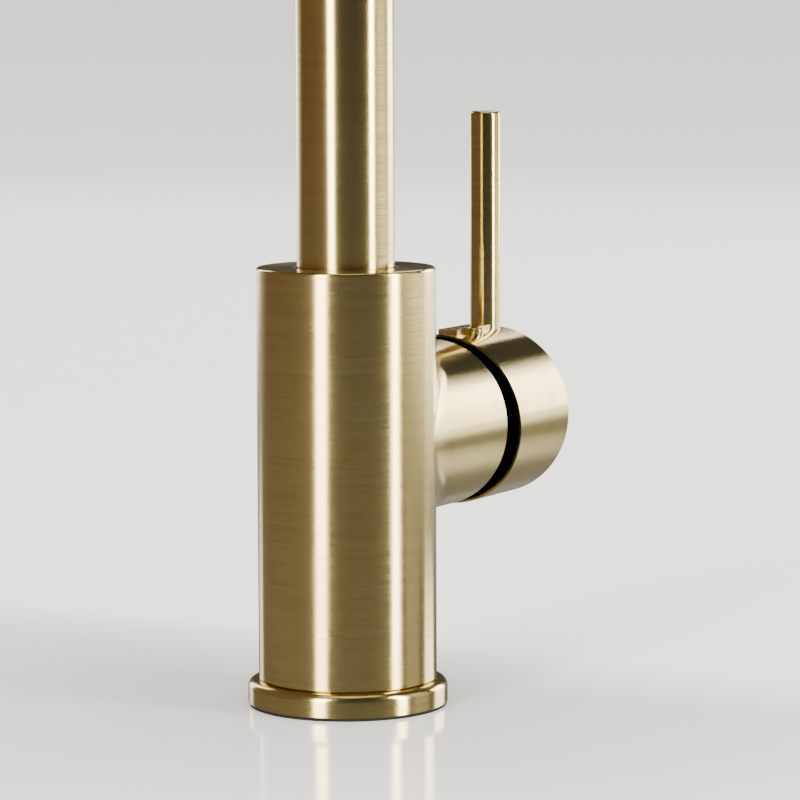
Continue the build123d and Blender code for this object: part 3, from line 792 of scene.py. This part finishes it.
@dataclass
class BentTube:
    """A round tube along the spout's line: up, over the half circle and down again, in millimetres."""

    radius: float = 13.15
    wall: float = 1.2
    low: float = 100.0
    end: float = 296.0
    round_off: float = 0.35
    columns: int = 128
    up_rows: int = 40
    arch_rows: int = 120
    down_rows: int = 5

    def line(self) -> tuple[np.ndarray, np.ndarray, np.ndarray]:
        """Centreline, its outward normal and the length so far.

        The line is (0, 0, z) up to the arch, then (0, -R + R cos a, z0 + R sin a) for a from 0 to pi,
        then (0, -2R, z) down to the end. The normal points away from the arch's centre.

        Returns:
            Arrays of the places, the normals and the lengths, in metres.
        """
        arch = REACH / MM / 2
        up = np.linspace(self.low, ARCH_FOOT, self.up_rows)
        turn = np.linspace(0, math.pi, self.arch_rows + 1)[1:]
        down = np.linspace(ARCH_FOOT, self.end, self.down_rows + 1)[1:]
        place = np.concatenate([
            np.stack([0 * up, 0 * up, up], -1),
            np.stack([0 * turn, -arch + arch * np.cos(turn), ARCH_FOOT + arch * np.sin(turn)], -1),
            np.stack([0 * down, 0 * down - 2 * arch, down], -1),
        ]) * MM
        normal = np.concatenate([
            np.tile([0.0, 1.0, 0.0], (len(up), 1)),
            np.stack([0 * turn, np.cos(turn), np.sin(turn)], -1),
            np.tile([0.0, -1.0, 0.0], (len(down), 1)),
        ])
        length = np.concatenate([[0.0], np.cumsum(np.linalg.norm(np.diff(place, axis=0), axis=1))])
        return place, normal, length

    def build(self, name: str) -> bpy.types.Object:
        """Sweep the ring section along the line.

        Point (i, j) is place_i + radius_i * (cos a_j * X + sin a_j * normal_i). The outer skin runs along the
        line and the inner skin runs back. Both outer edges are chamfered by round_off: a narrower ring closes
        each end, and the first and the last full ring stand that much higher.

        Args:
            name: name of the piece.

        Returns:
            The tube.
        """
        place, normal, length = self.line()
        chamfer = self.round_off * MM
        outer, inner = self.radius * MM, (self.radius - self.wall) * MM
        rows = [
            (place[:1], normal[:1], length[:1], outer - chamfer),
            (place, normal, length, outer),
            (place[-1:], normal[-1:], length[-1:], outer - chamfer),
            (place[-1:], normal[-1:], length[-1:], inner),
            (place[::-1], normal[::-1], length[::-1], inner),
        ]
        places, normals, lengths = (np.concatenate([row[index] for row in rows]) for index in range(3))
        radii = np.concatenate([np.full(len(row[0]), row[3]) for row in rows])
        places[[1, len(place)]] += np.array([0, 0, chamfer])
        angle = np.linspace(0, 2 * math.pi, self.columns, endpoint=False)
        side = np.array([1.0, 0.0, 0.0])
        spokes = np.cos(angle)[None, :, None] * side + np.sin(angle)[None, :, None] * normals[:, None, :]
        points = places[:, None, :] + radii[:, None, None] * spokes
        around = np.linspace(0, 2 * math.pi * outer, self.columns + 1)
        along = np.append(lengths, lengths[0])
        wrap = np.stack(np.broadcast_arrays(around[None, :], along[:, None]), -1)
        return lattice(name, points, wrap, closed_rows=True)


@dataclass
class Spout:
    """Gooseneck tube and the hose inside it, in millimetres."""

    hose_radius: float = 6.0
    hose_wall: float = 1.8
    hose_low: float = -64.0
    hose_columns: int = 40
    riser_lip: float = 0.01
    lead_low: float = 290.0
    lead_rows: int = 60
    lead_grip: float = 1.0

    def build(self, finishes: Finishes) -> None:
        """Make and dress the spout's pieces.

        Args:
            finishes: the mixer's finishes.
        """
        finish_piece(BentTube().build("gooseneck"), "spout", finishes.tube, "spout_tube")
        riser = BentTube(radius=self.hose_radius, wall=self.hose_wall, low=self.hose_low,
                         end=ARCH_FOOT - self.riser_lip, columns=self.hose_columns)
        finish_piece(riser.build("hose_in_spout"), "spout", finishes.hose, "spray_hose_riser")
        self._lead(finishes)

    def _lead(self, finishes: Finishes) -> None:
        """Make the straight lead of the hose, which draws out between the spout and the spray head.

        Point (i, j) is (r_i cos a_j, r_i sin a_j, z_i) about the spray head's axis.

        Args:
            finishes: the mixer's finishes.
        """
        outer, inner = self.hose_radius * MM, (self.hose_radius - self.hose_wall) * MM
        down = np.linspace(ARCH_FOOT * MM, self.lead_low * MM, self.lead_rows)
        heights = np.concatenate([down, down[::-1]])
        radii = np.repeat([outer, inner], self.lead_rows)
        angle = np.linspace(0, 2 * math.pi, self.hose_columns, endpoint=False)
        points = np.stack(np.broadcast_arrays(
            radii[:, None] * np.cos(angle), -REACH + radii[:, None] * np.sin(angle), heights[:, None]), -1)
        around = np.linspace(0, 2 * math.pi * outer, self.hose_columns + 1)
        along = -np.append(heights, heights[0])
        wrap = np.stack(np.broadcast_arrays(around[None, :], along[:, None]), -1)
        lead = lattice("hose_lead", points[:, ::-1], wrap, closed_rows=True)
        lead.data.materials.append(finishes.hose)
        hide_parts("spray_hose_lead")
        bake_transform(lead)
        LOG.info("%s stretches between spout and spray", lead.name)


@dataclass
class Body:
    """Valve body with its side boss, and the foot flange, in millimetres."""

    flange_radius: float = 26.9
    flange_bore: float = 17.6
    flange_low: float = 0.6
    flange_top: float = 7.0
    flange_edge: float = 2.0
    flange_chamfer: float = 0.3
    wall_rings: Span = (24.6, 24.4)
    edge_points: int = 12
    steps: int = 192
    sharp_angle: float = 40.0

    def build(self, finishes: Finishes) -> None:
        """Make and dress the body's pieces.

        Args:
            finishes: the mixer's finishes.
        """
        shell = merged_copy("valve_body", "body_and_boss")
        finish_piece(shell, "base", finishes.body, "valve_body")
        flange = turned("foot_flange", self._flange(), Vector((0, 0, 0)), self.steps)
        sharpen(flange, self.sharp_angle)
        finish_piece(flange, "base", finishes.upright, "base_flange")

    def _flange(self) -> list[Span]:
        """Section of the flange: a chamfered foot, a rounded upper edge and a flat top with a plain bore."""
        edge, low, top = self.flange_edge, self.flange_low, self.flange_top
        foot = [(self.flange_bore, low), (self.flange_radius - self.flange_chamfer, low),
                (self.flange_radius, low + self.flange_chamfer)]
        rounded = arc_points((self.flange_radius - edge, top - edge), edge, self.edge_points)
        return foot + rounded + [(radius, top) for radius in (*self.wall_rings, self.flange_bore)]


@dataclass
class Handle:
    """Lever cap, pin lever and the plug beside its foot, in millimetres."""

    rod_radius: float = 4.4
    rod_x: float = 78.6
    rod_low: float = 81.2
    rod_top: float = 156.8
    rod_edge: float = 0.9
    edge_points: int = 8
    steps: int = 96
    rod_sharp_angle: float = 50.0
    plug_smooth_angle: float = 40.0

    def build(self, finishes: Finishes) -> None:
        """Make and dress the handle's pieces.

        Args:
            finishes: the mixer's finishes.
        """
        cap = merged_copy("handle_cap", "lever_cap")
        finish_piece(cap, "lever", finishes.cap, "handle_cap")
        rod = turned("pin_lever", self._rod(), Vector((self.rod_x * MM, 0, 0)), self.steps, closed=False)
        sharpen(rod, self.rod_sharp_angle)
        finish_piece(rod, "lever", finishes.rod, "lever_rod")
        plug = merged_copy("index_plug", "foot_plug", self.plug_smooth_angle)
        finish_piece(plug, "lever", finishes.polished, "index_plug")

    def _rod(self) -> list[Span]:
        """Section of the pin lever, from the axis at its foot to the axis at its rounded top."""
        edge = self.rod_edge
        rounded = arc_points((self.rod_radius - edge, self.rod_top - edge), edge, self.edge_points)
        return [(0.0, self.rod_low), (self.rod_radius, self.rod_low), *rounded, (0.0, self.rod_top)]


@dataclass
class SprayHead:
    """Pull-down spray head."""

    smooth_angle: float = SMOOTH_ANGLE

    def build(self, finishes: Finishes) -> None:
        """Make and dress the spray head's shell.

        Args:
            finishes: the mixer's finishes.
        """
        shell = merged_copy("spray_shell", "spray_shell_skin", self.smooth_angle)
        finish_piece(shell, "spray", finishes.spray, "spray_shell")


@dataclass
class Fittings:
    """Turned, moulded and drawn fittings that keep their shape and are shaded evenly."""

    base: tuple[str, ...] = (
        "base_gasket", "trim_ring", "retaining_nut", "spout_bush_upper", "mounting_nut", "threaded_shank",
        "deck_seal_washer", "deck_steel_washer", "hot_inlet_tail", "cold_inlet_tail", "outlet_tail")
    spout: tuple[str, ...] = ("spout_end_guide", "spout_foot", "hose_lower_end")
    spray: tuple[str, ...] = (
        "face_ring", "nozzle_plate", "aerator", "spray_hose_nut", "dock_steel_ring", "spray_core")
    rocker: tuple[str, ...] = ("mode_rocker",)

    def build(self, dresser: Dresser) -> None:
        """Make and dress the fittings of each body.

        Args:
            dresser: the slots' finishes.
        """
        for body in ("base", "spout", "spray", "rocker"):
            for node in getattr(self, body):
                slot = dresser.slots[node]
                finish_piece(merged_copy(node, node + "_skin"), body, dresser.by_slot[slot], node)


# --------------------------------------------------------------------------- studio


@dataclass(frozen=True)
class Softbox:
    """A soft light panel that stands round the object and faces it."""

    azimuth: float
    height: float
    distance: float
    width: float
    tall: float
    power: float
    colour: tuple[float, float, float] = (1.0, 0.97, 0.92)

    def build(self, target: Vector) -> None:
        """Hang the panel.

        Args:
            target: the point that it faces.
        """
        data = bpy.data.lights.new("softbox", "AREA")
        data.shape = "RECTANGLE"
        data.size, data.size_y = self.width, self.tall
        data.energy = self.power
        data.color = self.colour
        lamp = bpy.data.objects.new("softbox", data)
        turn = math.radians(self.azimuth)
        lamp.location = Vector((math.sin(turn) * self.distance, -math.cos(turn) * self.distance, self.height))
        aim = target - lamp.location
        lamp.rotation_euler = aim.to_track_quat("-Z", "Y").to_euler()
        bpy.context.scene.collection.objects.link(lamp)


@dataclass
class Studio:
    """Pale glossy deck, soft panels and the camera, in metres and radians."""

    camera_place: Triple = (-0.84343, -0.494543, 0.193598)
    yaw: float = 1.05512
    pitch: float = 0.11352
    roll: float = -0.00363
    lens: float = 165.41595
    sensor: float = 36.0
    deck_white: Triple = (0.80, 0.80, 0.79)
    deck_cloud: float = 0.985
    deck_cloud_scale: float = 9.0
    deck_rings: tuple[float, ...] = (0.0001, 0.2, 1.0, 4.0, 20.0, 90.0)
    deck_steps: int = 96
    glaze_fade: Span = (0.06, 0.36)
    glaze_side_fade: Span = (0.03, 0.09)
    sheen_fade: Span = (0.08, 0.3)
    white_again: Span = (0.45, 0.8)
    mirrored_share: float = 0.16
    backdrop: Triple = (1.52, 1.51, 1.48)
    soft_light: Triple = (1.9, 1.89, 1.87)
    cool_dim: Triple = (0.06, 0.06, 0.055)
    warm_dim: Triple = (0.215, 0.145, 0.10)
    warm_side: Triple = (-0.34, 0.94, 0.0)
    warm_span: Span = (0.15, 0.75)
    aim: Triple = (0.0, 0.0, 0.12)
    # azimuth, height, distance, width, tall, power
    panels: tuple[Softbox, ...] = (
        Softbox(-92.5, 0.75, 2.0, 0.50, 1.9, 72.0),
        Softbox(5.5, 0.75, 2.0, 0.40, 1.9, 76.0),
        Softbox(34.0, 0.75, 2.2, 1.0, 1.9, 5.5, (1.0, 0.95, 0.86)),
        Softbox(73.0, 0.50, 2.2, 1.0, 0.95, 34.0),
        Softbox(112.0, 1.5, 2.3, 0.8, 0.7, 12.0),
        Softbox(150.0, 0.75, 2.4, 0.7, 1.7, 16.0),
        Softbox(0.0, 2.8, 0.02, 1.6, 1.6, 12.0),
    )

    def build(self) -> None:
        """Set up the whole studio."""
        self._deck()
        self._world()
        for panel in self.panels:
            panel.build(Vector(self.aim))
        self._camera()

    def _deck(self) -> None:
        """Lay a round white deck that runs past every view: point (i, j) is (r_i cos a_j, r_i sin a_j, 0)."""
        angle = np.linspace(0, 2 * math.pi, self.deck_steps, endpoint=False)
        radii = np.array(self.deck_rings)[:, None]
        level = np.zeros((1, 1))
        points = np.stack(np.broadcast_arrays(radii * np.cos(angle), radii * np.sin(angle), level), -1)
        deck = lattice("deck", points)
        deck.data.materials.append(self._glazed_deck())

    def _glazed_deck(self) -> bpy.types.Material:
        """Write the deck's material: glazed near the mixer's front, and plain matt white further out.

        Returns:
            The material.
        """
        nodes = SurfaceNodes("glazed_deck")
        place = nodes.place()
        side = nodes.split(place)[0]
        cloud = nodes.noise(place, (self.deck_cloud_scale,) * 3, 2.0)
        clouded = tuple(value * self.deck_cloud for value in self.deck_white)
        tone = nodes.mix(Blend.COLOUR, cloud, self.deck_white, clouded)
        nodes.dress(Base_Color=tone, Roughness=0.1, Specular_IOR_Level=0.8)
        plain = nodes.add("BsdfDiffuse")
        nodes.feed(plain.inputs["Color"], tone)
        fade = nodes.math("MAXIMUM", nodes.ramp(nodes.away(place), self.glaze_fade),
                          nodes.ramp(side, self.glaze_side_fade))
        seen = nodes.mix_shader(fade, nodes.shader.outputs[0], plain.outputs[0])
        mirrored = self._mirrored_deck(nodes, side)
        told = nodes.mix_shader(nodes.add("LightPath").outputs["Is Glossy Ray"], seen, mirrored)
        nodes.feed(nodes.tree.nodes["Material Output"].inputs["Surface"], told)
        return nodes.material

    def _mirrored_deck(self, nodes: Nodes, side: Socket) -> Socket:
        """Write the dimmer deck that the mixer's metal mirrors: glossy, then matt, then white again.

        Args:
            nodes: the deck's material.
            side: how far a place lies towards the lever.

        Returns:
            The shader's output.
        """
        faint = tuple(value * self.mirrored_share for value in self.deck_white)
        sheen = nodes.add("BsdfPrincipled")
        nodes.feed(sheen.inputs["Base Color"], faint)
        nodes.feed(sheen.inputs["Roughness"], 0.12)
        nodes.feed(sheen.inputs["Specular IOR Level"], 1.0)
        matt = nodes.add("BsdfDiffuse")
        white = nodes.mix(Blend.COLOUR, nodes.ramp(side, self.white_again), faint, self.deck_white)
        nodes.feed(matt.inputs["Color"], white)
        return nodes.mix_shader(nodes.ramp(side, self.sheen_fade), sheen.outputs[0], matt.outputs[0])

    def _world(self) -> None:
        """Pale surroundings for the eye and for soft light, dim and warmer at the back in reflections."""
        world = bpy.data.worlds.new("studio")
        nodes = Nodes(world)
        side = nodes.vector("DOT_PRODUCT", nodes.add("TexCoord").outputs["Generated"], self.warm_side)
        dim = nodes.mix(Blend.COLOUR, nodes.ramp(side, self.warm_span), self.cool_dim, self.warm_dim)
        shades = [nodes.tree.nodes["Background"], nodes.add("Background"), nodes.add("Background")]
        for shade, colour in zip(shades, (dim, self.soft_light, self.backdrop)):
            nodes.feed(shade.inputs["Color"], colour)
        mirrored, soft, seen = (shade.outputs[0] for shade in shades)
        path = nodes.add("LightPath").outputs
        told = nodes.mix_shader(path["Is Diffuse Ray"], mirrored, soft)
        told = nodes.mix_shader(path["Is Camera Ray"], told, seen)
        nodes.feed(nodes.tree.nodes["World Output"].inputs["Surface"], told)
        bpy.context.scene.world = world

    def _camera(self) -> None:
        """Stand the camera at its place, turned by yaw, pitch and roll."""
        data = bpy.data.cameras.new("camera")
        data.sensor_width = self.sensor
        data.lens = self.lens
        camera = bpy.data.objects.new("camera", data)
        forward = Vector((math.sin(self.yaw) * math.cos(self.pitch),
                          math.cos(self.yaw) * math.cos(self.pitch), -math.sin(self.pitch)))
        right = Vector((math.cos(self.yaw), -math.sin(self.yaw), 0.0))
        up = right.cross(forward)
        turned_right = right * math.cos(self.roll) + up * math.sin(self.roll)
        turned_up = up * math.cos(self.roll) - right * math.sin(self.roll)
        basis = Matrix((turned_right, turned_up, -forward)).transposed()
        camera.matrix_world = Matrix.Translation(self.camera_place) @ basis.to_4x4()
        bpy.context.scene.collection.objects.link(camera)
        bpy.context.scene.camera = camera


def main() -> None:
    """Build the studio and the mixer in order, and report each piece."""
    logging.basicConfig(level=logging.INFO, format="%(message)s")
    Studio().build()
    finishes = Finishes()
    dresser = Dresser(finishes)
    dresser.dress()
    Body().build(finishes)
    Handle().build(finishes)
    Spout().build(finishes)
    SprayHead().build(finishes)
    Fittings().build(dresser)


if __name__ == "__main__":
    main()
